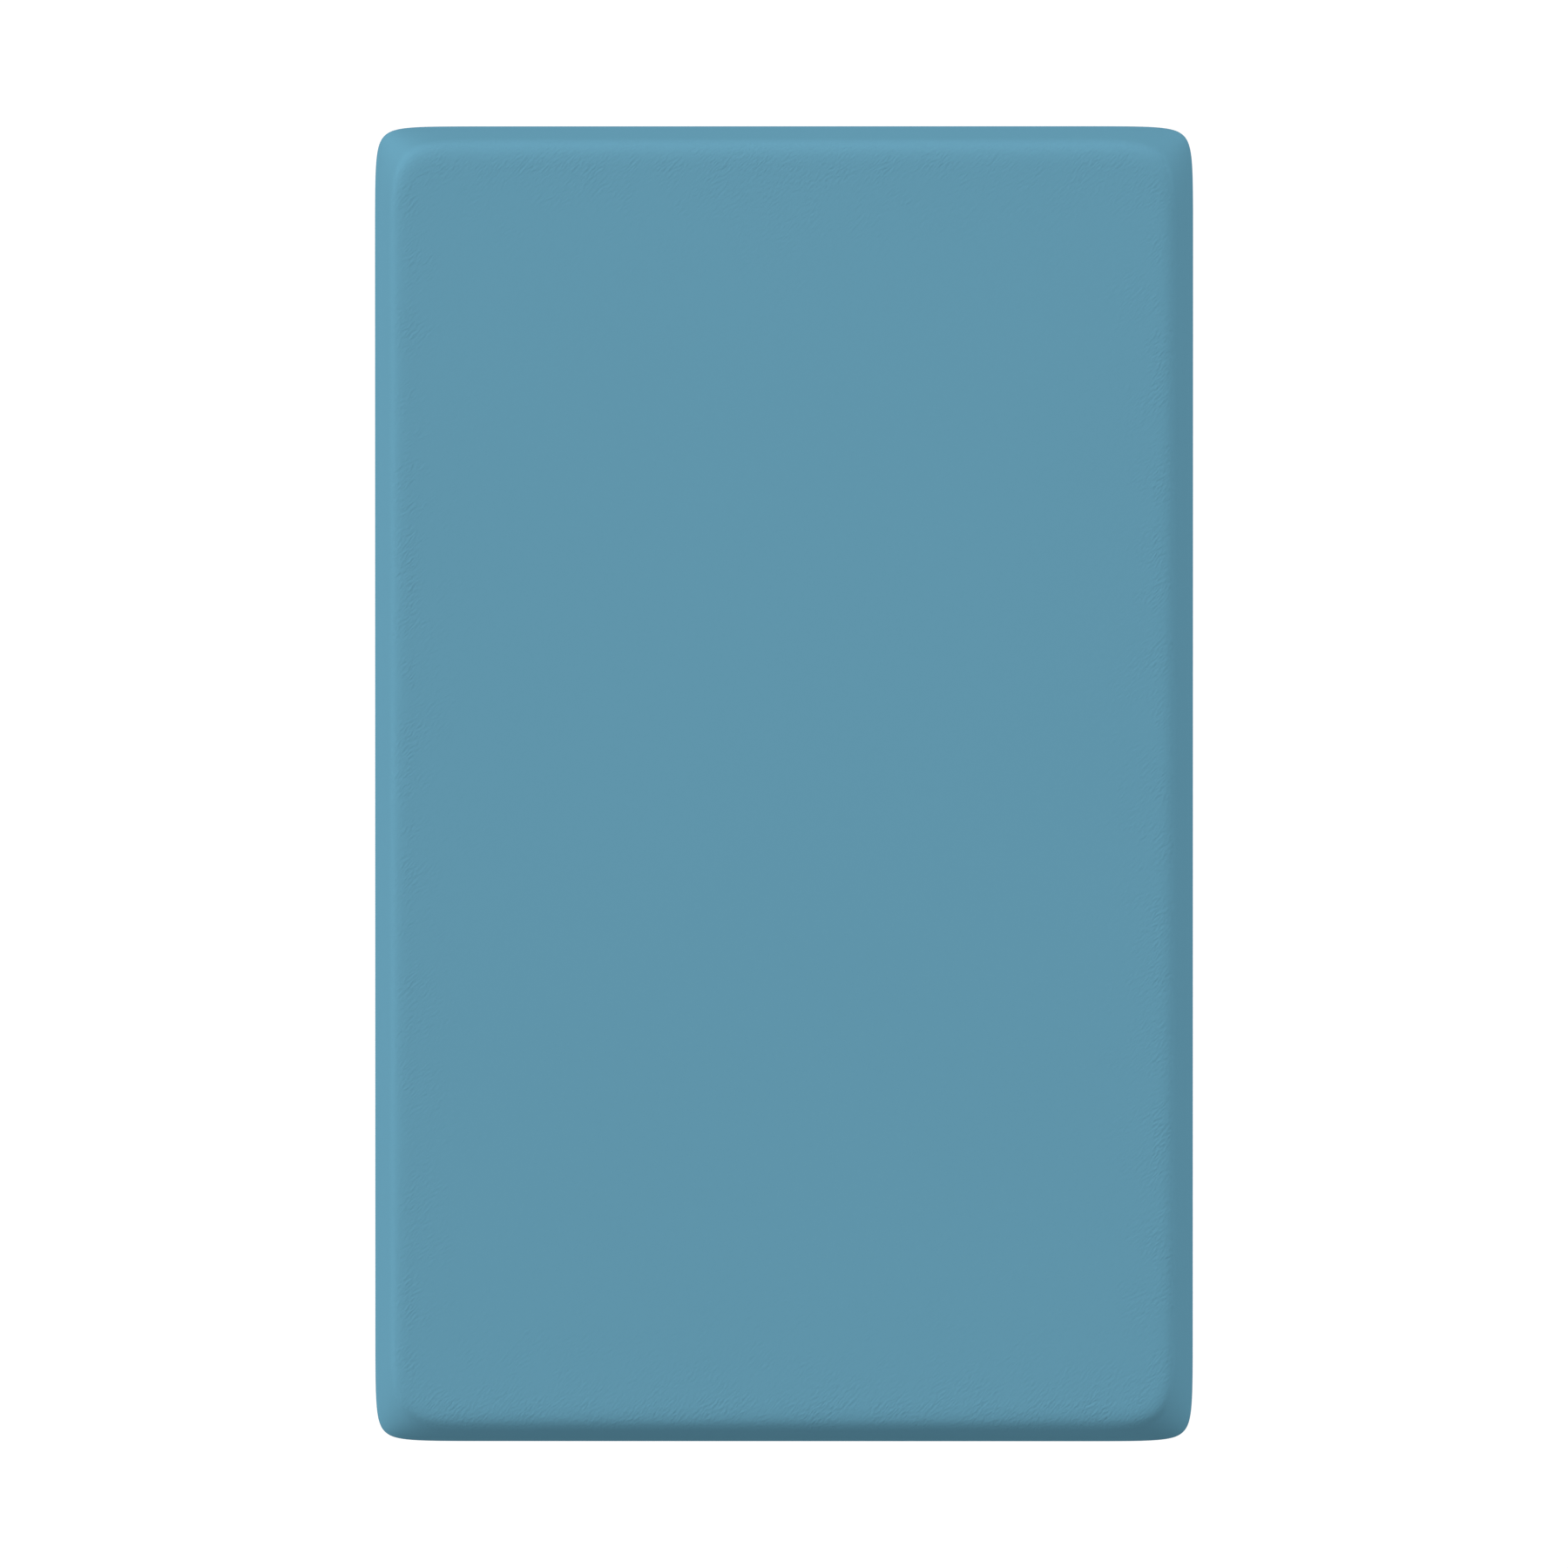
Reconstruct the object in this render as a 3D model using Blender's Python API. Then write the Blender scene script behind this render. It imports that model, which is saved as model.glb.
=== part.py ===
"""A felt chalkboard eraser with a moulded plastic back.

X is the width, Y the length and Z is up. The origin is in the middle of the wiping face,
so the eraser stands on its felt at Z = 0. Every length is in metres.
"""

import math

import bpy
import bmesh
import numpy as np
from mathutils import Matrix

MM = 0.001

# The whole eraser
WIDTH = 70.0 * MM
LENGTH = 112.5 * MM
HEIGHT = 30.0 * MM
TOUCH_GAP = 0.3 * MM  # left between two parts that touch

# The back, a shell that is open below
BACK_HEIGHT = 18.0 * MM
WALL = 2.0 * MM
DRAFT = math.radians(6.6)  # how far the side walls lean in
TOP_ROUNDING = 1.3 * MM
CEILING_ROUNDING = 1.0 * MM
RIM_CORNER = (4.8 * MM, 37.0 * MM)  # the near and far control distances of an eased corner
TOP_CORNER = (5.3 * MM, 14.0 * MM)
RIM_CORNER_INSIDE = (3.0 * MM, 30.0 * MM)
CEILING_CORNER = (2.5 * MM, 26.0 * MM)
CORNER_STEPS = 5  # points on each half of a corner
ROUNDING_STEPS = 6
WALL_STEPS = 3

# Stiffening ribs under the top of the back
RIB_DEPTH = 2.5 * MM
RIB_THICKNESS = 1.2 * MM
RIB_ROWS_ALONG = (-12.0 * MM, 12.0 * MM)
RIB_ROWS_ACROSS = (-34.0 * MM, -11.5 * MM, 11.5 * MM, 34.0 * MM)

# The felt pad, strips of felt that stand on edge
STRIP_COUNT = 11
STRIP_THICKNESS = 5.4 * MM
STRIP_LENGTH = 105.0 * MM
STRIP_HEIGHT = 17.3 * MM
STRIP_WORN_EDGE = 0.6 * MM

# The threads that bind the strips, and the knots at their ends
THREAD_ROWS = (-42.0 * MM, -14.0 * MM, 14.0 * MM, 42.0 * MM)
THREAD_HEIGHT = 14.6 * MM
THREAD_DIAMETER = 1.2 * MM
KNOT_DIAMETER = 2.6 * MM
KNOT_THICKNESS = 0.8 * MM
THREAD_SIDES = 12

# The board that carries the strips, and the foam above it
BOARD_WIDTH = 63.0 * MM
BOARD_LENGTH = 105.6 * MM
BOARD_THICKNESS = 3.0 * MM
BOARD_CORNER = 3.0 * MM
FOAM_WIDTH = 61.0 * MM
FOAM_LENGTH = 103.4 * MM
FOAM_CORNER = 4.0 * MM

# Heights that follow from the sizes above
RIM_Z = HEIGHT - BACK_HEIGHT
CEILING_Z = HEIGHT - WALL
RIB_Z = CEILING_Z - RIB_DEPTH
BOARD_Z = STRIP_HEIGHT + TOUCH_GAP
FOAM_Z = BOARD_Z + BOARD_THICKNESS + TOUCH_GAP
FOAM_THICKNESS = RIB_Z - TOUCH_GAP - FOAM_Z


def clear_scene():
    for item in list(bpy.data.objects):
        bpy.data.objects.remove(item, do_unlink=True)


def make_material(name, color, roughness):
    material = bpy.data.materials.new(name)
    material.use_nodes = True
    shader = material.node_tree.nodes["Principled BSDF"]
    shader.inputs["Base Color"].default_value = (*color, 1.0)
    shader.inputs["Roughness"].default_value = roughness
    shader.inputs["Metallic"].default_value = 0.0
    return material


def make_object(name, mesh, material=None, location=(0.0, 0.0, 0.0)):
    item = bpy.data.objects.new(name, mesh)
    bpy.context.scene.collection.objects.link(item)
    item.location = location
    if material:
        mesh.materials.clear()
        mesh.materials.append(material)
    return item


def hide_guide(item):
    item.hide_render = True
    item.display_type = "WIRE"


def apply_boolean(item, other, operation):
    modifier = item.modifiers.new(f"{operation.lower()} {other.name}", "BOOLEAN")
    modifier.object = other
    modifier.operation = operation
    modifier.solver = "EXACT"


def mesh_from_rings(name, rings):
    """A closed solid: neighbouring rings are joined by quads, and the first and last are filled."""
    bm = bmesh.new()
    loops = [[bm.verts.new(point) for point in ring] for ring in rings]
    for upper, lower in zip(loops, loops[1:]):
        for i, vert in enumerate(upper):
            j = (i + 1) % len(upper)
            bm.faces.new((vert, lower[i], lower[j], upper[j]))
    bm.faces.new(loops[0])
    bm.faces.new(reversed(loops[-1]))
    bmesh.ops.recalc_face_normals(bm, faces=bm.faces)
    mesh = bpy.data.meshes.new(name)
    bm.to_mesh(mesh)
    bm.free()
    return mesh


def shade_round(mesh, angle=40.0):
    mesh.shade_smooth()
    mesh.set_sharp_from_angle(angle=math.radians(angle))


# Outlines


def half_corner(near, far, slopes):
    """Points from a corner's middle to where it meets the side, as (along, off) the side.

    The curve is the cubic B-spline whose control points are the sharp corner itself, one
    `near` away and one `far` away. It bends hardest in the middle and eases into the side.
    Each point is where the curve makes the given angle with the side, so two outlines with
    the same angles pair up point by point.
    """
    tangent = np.tan(slopes)
    a = tangent * (far - 3.0 * near) - near
    b = 2.0 * near * (tangent + 1.0)
    c = near * (tangent - 1.0)
    t = 2.0 * c / (-b - np.sqrt(b * b - 4.0 * a * c))
    along = near * (1.0 + 3.0 * t + 3.0 * t**2 - 3.0 * t**3) / 6.0 + far * t**3 / 6.0
    off = near * (1.0 - t) ** 3 / 6.0
    return along, off


def corner_slopes():
    """Angles to the side, from 45 degrees in the corner's middle down to 0, closer together near 0."""
    steps = np.linspace(1.0, 0.0, CORNER_STEPS)
    return math.radians(45.0) * steps**2


def eased_outline(half_x, half_y, corner):
    """A rectangle with eased corners, as (points, outward normals), anticlockwise from +X."""
    slopes = corner_slopes()
    along, off = half_corner(*corner, slopes)
    up_side = np.stack([half_x - off, half_y - along], axis=1)[::-1]
    up_side_normal = np.stack([np.cos(slopes), np.sin(slopes)], axis=1)[::-1]
    on_end = np.stack([half_x - along, half_y - off], axis=1)[1:]
    on_end_normal = np.stack([np.sin(slopes), np.cos(slopes)], axis=1)[1:]
    points = np.concatenate([up_side, on_end])
    normals = np.concatenate([up_side_normal, on_end_normal])
    mirror_x, mirror_y = np.array([-1.0, 1.0]), np.array([1.0, -1.0])
    quarters = (
        (points, normals),
        (points[::-1] * mirror_x, normals[::-1] * mirror_x),
        (-points, -normals),
        (points[::-1] * mirror_y, normals[::-1] * mirror_y),
    )
    return (
        np.concatenate([quarter[0] for quarter in quarters]),
        np.concatenate([quarter[1] for quarter in quarters]),
    )


def rounded_rectangle(half_x, half_y, radius, steps=4):
    """A rectangle with round corners, anticlockwise."""
    turn = np.linspace(0.0, math.pi / 2.0, steps + 1)
    corner_places = ((1, 1), (-1, 1), (-1, -1), (1, -1))
    points = []
    for quarter, (side_x, side_y) in enumerate(corner_places):
        angle = turn + quarter * math.pi / 2.0
        middle_x = side_x * (half_x - radius)
        middle_y = side_y * (half_y - radius)
        points += list(zip(middle_x + radius * np.cos(angle), middle_y + radius * np.sin(angle)))
    return points


# The back


def inset_of(height, rounding):
    """How far a drafted wall and its rounding stand in from the rim to the flat face above."""
    return height * math.tan(DRAFT) + rounding * math.tan(math.radians(45.0) - DRAFT / 2.0)


def cup_rings(rim_half, rim_corner, flat_corner, base_z, height, rounding, steps):
    """Rings of a drafted cup, from its flat top to its rim.

    From each point of the flat top's outline the surface turns down along an arc, and then
    runs straight to the rim's outline, tangent to the arc.
    """
    inset = inset_of(height, rounding)
    flat, normal = eased_outline(rim_half[0] - inset, rim_half[1] - inset, flat_corner)
    rim, _ = eased_outline(*rim_half, rim_corner)
    out = np.sum((rim - flat) * normal, axis=1)
    drop = height - rounding
    turn = np.arctan2(drop, out) + np.arcsin(rounding / np.hypot(out, drop))
    rings = []
    for share in np.linspace(0.0, 1.0, steps + 1):
        place = flat + normal * (rounding * np.sin(turn * share))[:, None]
        z = base_z + height - rounding * (1.0 - np.cos(turn * share))
        rings.append(np.column_stack([place, z]))
    shoulder = rings[-1]
    foot = np.column_stack([rim, np.full(len(rim), base_z)])
    for share in np.linspace(0.0, 1.0, WALL_STEPS + 1)[1:]:
        rings.append(shoulder + (foot - shoulder) * share)
    return rings


def make_ribs():
    """Bars that cross under the ceiling, and end half way into the back's top and walls."""
    lean = (BACK_HEIGHT - WALL) * math.tan(DRAFT)
    reach_x = (WIDTH - WALL) / 2.0 - lean
    reach_y = (LENGTH - WALL) / 2.0 - lean
    z_low, z_high = RIB_Z, CEILING_Z + WALL / 2.0
    half = RIB_THICKNESS / 2.0
    bars = [(x - half, x + half, -reach_y, reach_y) for x in RIB_ROWS_ALONG]
    bars += [(-reach_x, reach_x, y - half, y + half) for y in RIB_ROWS_ACROSS]
    guides = []
    for number, (x0, x1, y0, y1) in enumerate(bars):
        outline = [(x1, y0), (x1, y1), (x0, y1), (x0, y0)]
        rings = [[(x, y, z) for x, y in outline] for z in (z_high, z_low)]
        guide = make_object(f"rib_guide_{number}", mesh_from_rings("rib", rings))
        hide_guide(guide)
        guides.append(guide)
    return guides


def make_back_shell():
    outer = cup_rings(
        (WIDTH / 2.0, LENGTH / 2.0), RIM_CORNER, TOP_CORNER, RIM_Z, BACK_HEIGHT,
        TOP_ROUNDING, ROUNDING_STEPS,
    )
    inner = cup_rings(
        (WIDTH / 2.0 - WALL, LENGTH / 2.0 - WALL), RIM_CORNER_INSIDE, CEILING_CORNER, RIM_Z,
        BACK_HEIGHT - WALL, CEILING_ROUNDING, ROUNDING_STEPS // 2,
    )
    mesh = mesh_from_rings("back_shell", outer + inner[::-1])
    shade_round(mesh)
    shell = make_object("back_shell", mesh, make_material("blue plastic", (0.12, 0.30, 0.41), 0.6))
    for rib in make_ribs():
        apply_boolean(shell, rib, "UNION")
    return shell


# The pad inside it


def make_slab(name, width, length, corner, z_low, thickness, material):
    outline = rounded_rectangle(width / 2.0, length / 2.0, corner)
    rings = [[(x, y, z) for x, y in outline] for z in (thickness, 0.0)]
    mesh = mesh_from_rings(name, rings)
    shade_round(mesh)
    return make_object(name, mesh, material, (0.0, 0.0, z_low))


def make_hole_guide():
    """One cutter for all the thread holes of a strip."""
    radius = THREAD_DIAMETER / 2.0 + TOUCH_GAP
    along_x = Matrix.Rotation(math.radians(90.0), 4, "Y")
    bm = bmesh.new()
    for y in THREAD_ROWS:
        bmesh.ops.create_cone(
            bm, cap_ends=True, segments=THREAD_SIDES, radius1=radius, radius2=radius,
            depth=WIDTH, matrix=Matrix.Translation((0.0, y, THREAD_HEIGHT)) @ along_x,
        )
    mesh = bpy.data.meshes.new("hole_guide")
    bm.to_mesh(mesh)
    bm.free()
    guide = make_object("hole_guide", mesh)
    hide_guide(guide)
    return guide


def strip_mesh():
    """A felt strip whose lower edges, the ones that wipe, are a little rounded."""
    half_x, half_y = STRIP_THICKNESS / 2.0, STRIP_LENGTH / 2.0
    rings = []
    for share in np.linspace(0.0, 1.0, 3):
        angle = share * math.pi / 2.0
        inset = STRIP_WORN_EDGE * (1.0 - math.sin(angle))
        z = STRIP_WORN_EDGE * (1.0 - math.cos(angle))
        x, y = half_x - inset, half_y - inset
        rings.append([(x, -y, z), (x, y, z), (-x, y, z), (-x, -y, z)])
    rings.append([(x, y, STRIP_HEIGHT) for x, y, _ in rings[-1]])
    return mesh_from_rings("felt_strip", rings)


def make_felt_strips(material):
    pitch = STRIP_THICKNESS + TOUCH_GAP
    holes = make_hole_guide()
    mesh = strip_mesh()
    for number in range(STRIP_COUNT):
        x = (number - (STRIP_COUNT - 1) / 2.0) * pitch
        strip = make_object(f"felt_strip_{number + 1:02d}", mesh, material, (x, 0.0, 0.0))
        apply_boolean(strip, holes, "DIFFERENCE")


def thread_mesh():
    """A thread along X with a domed knot on each end, turned round its own axis."""
    pad_half = (STRIP_COUNT * (STRIP_THICKNESS + TOUCH_GAP) - TOUCH_GAP) / 2.0
    knot_start = pad_half + TOUCH_GAP
    thread, knot = THREAD_DIAMETER / 2.0, KNOT_DIAMETER / 2.0
    profile = [(knot_start, thread), (knot_start, knot)]
    for share in np.linspace(0.25, 1.0, 4):
        angle = share * math.pi / 2.0
        x = knot_start + KNOT_THICKNESS * math.sin(angle)
        profile.append((x, max(knot * math.cos(angle), thread / 4.0)))
    profile = [(-x, radius) for x, radius in profile[::-1]] + profile
    turn = np.linspace(0.0, 2.0 * math.pi, THREAD_SIDES, endpoint=False)
    rings = [[(x, radius * math.cos(a), radius * math.sin(a)) for a in turn] for x, radius in profile]
    mesh = mesh_from_rings("binding_thread", rings)
    shade_round(mesh, 50.0)
    return mesh


def make_binding_threads():
    material = make_material("waxed cotton", (0.62, 0.57, 0.46), 0.8)
    mesh = thread_mesh()
    for number, y in enumerate(THREAD_ROWS):
        make_object(f"binding_thread_{number + 1}", mesh, material, (0.0, y, THREAD_HEIGHT))


def main():
    clear_scene()
    make_back_shell()
    foam = make_material("grey foam", (0.20, 0.21, 0.22), 0.9)
    board = make_material("brown hardboard", (0.24, 0.14, 0.08), 0.8)
    felt = make_material("charcoal felt", (0.06, 0.06, 0.065), 0.95)
    make_slab("foam_cushion", FOAM_WIDTH, FOAM_LENGTH, FOAM_CORNER, FOAM_Z, FOAM_THICKNESS, foam)
    make_slab(
        "backing_board", BOARD_WIDTH, BOARD_LENGTH, BOARD_CORNER, BOARD_Z, BOARD_THICKNESS, board
    )
    make_felt_strips(felt)
    make_binding_threads()


main()
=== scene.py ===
"""Fine surfaces, finishes and studio for a felt chalkboard eraser with a moulded plastic back.

Laid out as an add-on, and run as a script around the fixed CAD frame. Lengths are metres. X is
the width, Y the length and Z is up, with the felt's wiping face at Z = 0.
"""

import math

import bpy
import numpy as np
from bpy.props import FloatProperty, FloatVectorProperty, IntProperty, PointerProperty
from bpy.types import Operator, Panel, PropertyGroup
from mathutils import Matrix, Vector


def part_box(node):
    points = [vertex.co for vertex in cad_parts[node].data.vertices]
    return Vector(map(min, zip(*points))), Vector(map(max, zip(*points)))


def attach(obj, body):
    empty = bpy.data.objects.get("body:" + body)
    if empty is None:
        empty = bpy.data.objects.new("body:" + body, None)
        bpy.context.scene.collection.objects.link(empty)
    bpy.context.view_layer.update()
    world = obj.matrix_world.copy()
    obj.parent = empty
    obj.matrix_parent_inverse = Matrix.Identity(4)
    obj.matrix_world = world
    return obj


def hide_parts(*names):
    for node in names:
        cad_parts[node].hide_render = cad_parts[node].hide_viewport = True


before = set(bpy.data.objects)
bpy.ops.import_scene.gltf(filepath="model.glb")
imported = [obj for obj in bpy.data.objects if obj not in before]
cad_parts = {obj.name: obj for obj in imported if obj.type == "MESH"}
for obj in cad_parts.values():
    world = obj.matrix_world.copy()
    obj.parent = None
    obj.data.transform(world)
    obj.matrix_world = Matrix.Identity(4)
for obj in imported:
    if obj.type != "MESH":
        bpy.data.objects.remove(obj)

bl_info = {
    "name": "Felt chalkboard eraser",
    "version": (1, 0, 0),
    "blender": (4, 5, 0),
    "location": "View3D > Sidebar > Eraser",
    "description": "Makes the back, the felt pad and the studio of a chalkboard eraser",
    "category": "Object",
}

MM = 0.001
SAME_POINT = 1e-9  # points nearer than this are one point
BODY = "root"
FELT_NODES = sorted(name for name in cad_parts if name.startswith("felt_strip"))
THREAD_NODES = sorted(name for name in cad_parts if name.startswith("binding_thread"))


# ---------------------------------------------------------------- settings


class BackSettings(PropertyGroup):
    """Sizes and finish of the moulded back."""

    wall: FloatProperty(
        name="Wall", description="Thickness of the moulding", default=2.0 * MM, min=0.5 * MM,
        unit="LENGTH", precision=5,
    )
    draft: FloatProperty(
        name="Draft", description="How far the side walls lean in", default=math.radians(6.6),
        subtype="ANGLE",
    )
    side_bend: FloatProperty(
        name="Side bend", description="Reach of the rounding above the long sides",
        default=1.8 * MM, unit="LENGTH", precision=5,
    )
    end_bend: FloatProperty(
        name="End bend", description="Reach of the rounding above the short ends",
        default=2.55 * MM, unit="LENGTH", precision=5,
    )
    rim_round: FloatProperty(
        name="Rim", description="Rounding of the rim's edges", default=0.35 * MM,
        unit="LENGTH", precision=5,
    )
    grain_pitch: FloatProperty(
        name="Grain pitch", description="Distance between two ridges of the grain",
        default=0.34 * MM, unit="LENGTH", precision=5,
    )
    grain_depth: FloatProperty(
        name="Grain depth", description="Height of the grain's ridges", default=0.085 * MM,
        unit="LENGTH", precision=5,
    )
    color: FloatVectorProperty(
        name="Plastic", description="Colour of the plastic", subtype="COLOR", size=3,
        min=0.0, max=1.0, default=(0.0862, 0.2215, 0.2995),
    )


class PadSettings(PropertyGroup):
    """Finish of the felt, foam, board and thread behind the back."""

    felt_edge: FloatProperty(
        name="Felt edge", description="Softness of the felt's cut edges", default=0.75 * MM,
        unit="LENGTH", precision=5,
    )
    felt_waver: FloatProperty(
        name="Felt waver", description="How uneven the felt's faces are", default=0.10 * MM,
        unit="LENGTH", precision=5,
    )
    fibres: IntProperty(
        name="Loose fibres", description="Loose fibres that stand out of each strip",
        default=1350, min=0,
    )
    fibre_length: FloatProperty(
        name="Fibre length", description="Mean length of a loose fibre", default=1.0 * MM,
        unit="LENGTH", precision=5,
    )
    felt_dark: FloatVectorProperty(
        name="Felt, dark", description="Colour of the felt's dark wool", subtype="COLOR",
        size=3, min=0.0, max=1.0, default=(0.034, 0.035, 0.039),
    )
    felt_light: FloatVectorProperty(
        name="Felt, light", description="Colour of the pale hairs in the felt",
        subtype="COLOR", size=3, min=0.0, max=1.0, default=(0.125, 0.125, 0.127),
    )
    foam_color: FloatVectorProperty(
        name="Foam", description="Colour of the foam", subtype="COLOR", size=3, min=0.0,
        max=1.0, default=(0.20, 0.21, 0.22),
    )
    board_color: FloatVectorProperty(
        name="Board", description="Colour of the hardboard", subtype="COLOR", size=3, min=0.0,
        max=1.0, default=(0.24, 0.14, 0.08),
    )
    thread_color: FloatVectorProperty(
        name="Thread", description="Colour of the binding thread", subtype="COLOR", size=3,
        min=0.0, max=1.0, default=(0.62, 0.57, 0.46),
    )


class StudioSettings(PropertyGroup):
    """Camera, lights and floor."""

    camera_height: FloatProperty(
        name="Camera height", description="Camera above the rim of the back", default=0.95,
        unit="LENGTH",
    )
    view_width: FloatProperty(
        name="View width", description="Width of the view at the rim of the back",
        default=134.1 * MM, unit="LENGTH",
    )
    light_left: FloatProperty(
        name="Light left", description="Light on a white card that faces the left light",
        default=0.575,
    )
    light_left_low: FloatProperty(
        name="Light left low", description="Light on a white card that faces the low left light",
        default=0.395,
    )
    light_back: FloatProperty(
        name="Light back", description="Light on a white card that faces the back light",
        default=1.03,
    )
    light_right: FloatProperty(
        name="Light right", description="Light on a white card that faces the right light",
        default=0.27,
    )
    light_right_low: FloatProperty(
        name="Light right low", description="Light on a white card that faces the low right light",
        default=0.155,
    )
    light_top: FloatProperty(
        name="Light top", description="Light on a white card that faces the light overhead",
        default=0.37,
    )
    sky: FloatProperty(name="Sky", description="Brightness of the room", default=0.08)
    floor_glow: FloatProperty(
        name="Floor glow", description="Light that comes through the floor", default=1.0
    )
    floor_color: FloatVectorProperty(
        name="Floor", description="Colour of the floor", subtype="COLOR", size=3, min=0.0,
        max=1.0, default=(0.06, 0.06, 0.06),
    )


# ---------------------------------------------------------------- meshes


def tube_skin(rings):
    """Points and faces of a closed body.

    Neighbouring rings are joined by quads, and the end rings are filled by fans to their middles.
    """
    count, stations, _ = rings.shape
    points = np.concatenate([rings.reshape(-1, 3), rings[:1].mean(axis=1), rings[-1:].mean(axis=1)])
    here = np.arange(stations)
    after = (here + 1) % stations
    row = (np.arange(count - 1) * stations)[:, None]
    quads = np.stack([row + here, row + stations + here, row + stations + after, row + after], -1)
    first_pole, last_pole = count * stations, count * stations + 1
    last = (count - 1) * stations
    start = np.stack([here, after, np.full(stations, first_pole)], -1)
    end = np.stack([last + after, last + here, np.full(stations, last_pole)], -1)
    return points, [quads.reshape(-1, 4), start, end]


def swept_skin(paths, radii, sides, closed=False):
    """Points and faces of round rods, one for each path.

    A rod's ring at a point of its path is that point plus the radius times the cosine and sine
    of the station's angle along two directions square to the path.
    """
    number, count, _ = paths.shape
    if closed:
        along = np.roll(paths, -1, axis=1) - np.roll(paths, 1, axis=1)
    else:
        along = np.gradient(paths, axis=1)
    along /= np.linalg.norm(along, axis=2, keepdims=True)
    helper = np.where(np.abs(along[:, :1, :1]) > 0.8, [[[0.0, 0.0, 1.0]]], [[[1.0, 0.0, 0.0]]])
    one = np.cross(along, helper)
    one /= np.linalg.norm(one, axis=2, keepdims=True)
    two = np.cross(along, one)
    angle = np.linspace(0.0, 2.0 * math.pi, sides, endpoint=False)
    ring = one[:, :, None] * np.cos(angle)[:, None] + two[:, :, None] * np.sin(angle)[:, None]
    points = paths[:, :, None] + ring * np.broadcast_to(radii, (number, count))[:, :, None, None]
    here = np.arange(sides)
    after = (here + 1) % sides
    rows = np.arange(count if closed else count - 1)
    low = (rows * sides)[:, None]
    high = ((rows + 1) % count * sides)[:, None]
    quads = np.stack([low + here, high + here, high + after, low + after], -1).reshape(-1, 4)
    start = (np.arange(number) * count * sides)[:, None, None]
    faces = [(quads + start).reshape(-1, 4)]
    if not closed:
        ends = np.stack([here[::-1], (count - 1) * sides + here])
        faces.append((ends + start).reshape(-1, sides))
    return points.reshape(-1, 3), faces


def round_outline(low, high, radius, steps, spacing):
    """A rectangle with quarter circles at its corners, anticlockwise from its lower right one.

    Each side is divided evenly between its corners, about `spacing` apart. Where two corners
    meet with no side between them, their shared point is given once.
    """
    low, high = np.array(low), np.array(high)
    centres = np.array([(high[0], low[1]), high, (low[0], high[1]), low])
    centres += radius * np.array([(-1.0, 1.0), (-1.0, -1.0), (1.0, -1.0), (1.0, 1.0)])
    parts = []
    for k in range(4):
        turn = math.pi / 2.0 * (k - 1.0 + np.linspace(0.0, 1.0, steps + 1))
        arc = centres[k] + radius * np.stack([np.cos(turn), np.sin(turn)], axis=1)
        turned = math.pi / 2.0 * k
        start = centres[(k + 1) % 4] + radius * np.array([math.cos(turned), math.sin(turned)])
        side = float(np.linalg.norm(start - arc[-1]))
        if side < SAME_POINT:
            parts.append(arc[:-1])
            continue
        count = max(1, round(side / spacing))
        share = np.linspace(0.0, 1.0, count, endpoint=False)[1:, None]
        parts += [arc, arc[-1] + (start - arc[-1]) * share]
    return np.concatenate(parts)


def slab_rings(low, high, bottom, top, radius, ease, steps, spacing=1.0, rise=None, caps=4):
    """Rings of a flat body with round corners and eased edges, from its lower face's middle.

    The ring at a height is the outline moved in by ease times one less the sine of the
    angle on the edge's quarter circle, and the flat faces are the outline drawn to its middle.
    """
    low, high = np.array(low), np.array(high)
    turn = np.linspace(0.0, math.pi / 2.0, steps + 1)
    inset = ease * (1.0 - np.sin(turn))
    lift = ease * (1.0 - np.cos(turn))
    count = max(1, round((top - bottom - 2.0 * ease) / (rise or top - bottom)))
    levels = np.linspace(bottom + ease, top - ease, count + 1)[1:-1]
    full = round_outline(low, high, radius + ease, steps, spacing)
    middle = (low + high) / 2.0
    shrink = 1.0 - inset[:, None] / ((high - low) / 2.0)
    edge = middle + (full - middle) * shrink[:, None]
    shares = np.linspace(0.0, 1.0, caps + 1)[1:-1, None, None]
    cap = middle + (edge[0] - middle) * shares
    rings = [cap, edge, np.repeat(full[None], len(levels), axis=0), edge[::-1], cap[::-1]]
    heights = np.concatenate([
        np.full(len(cap), bottom), bottom + lift, levels, top - lift[::-1], np.full(len(cap), top)
    ])
    rings = np.concatenate(rings)
    z = np.broadcast_to(heights[:, None, None], (*rings.shape[:2], 1))
    return np.concatenate([rings, z], axis=-1)


def waves(points, seed, number, longest, shortest):
    """Smooth noise from -1 to 1: the mean of sine waves of random direction and phase, with
    lengths between the two given."""
    random = np.random.default_rng(seed)
    direction = random.normal(size=(3, number))
    direction /= np.linalg.norm(direction, axis=0)
    length = shortest * (longest / shortest) ** random.random(number)
    phase = random.random(number) * 2.0 * math.pi
    value = np.sin(points @ (direction * 2.0 * math.pi / length) + phase)
    return value.sum(axis=-1) / math.sqrt(number / 2.0) / 2.5


def volume(points, faces):
    """Signed volume: the sum over triangles of the corners' triple product, over six."""
    total = 0.0
    for group in faces:
        a = points[group[:, 0]]
        for k in range(1, group.shape[1] - 1):
            b, c = points[group[:, k]], points[group[:, k + 1]]
            total += float(np.einsum("ij,ij->", a, np.cross(b, c))) / 6.0
    return total


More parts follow.
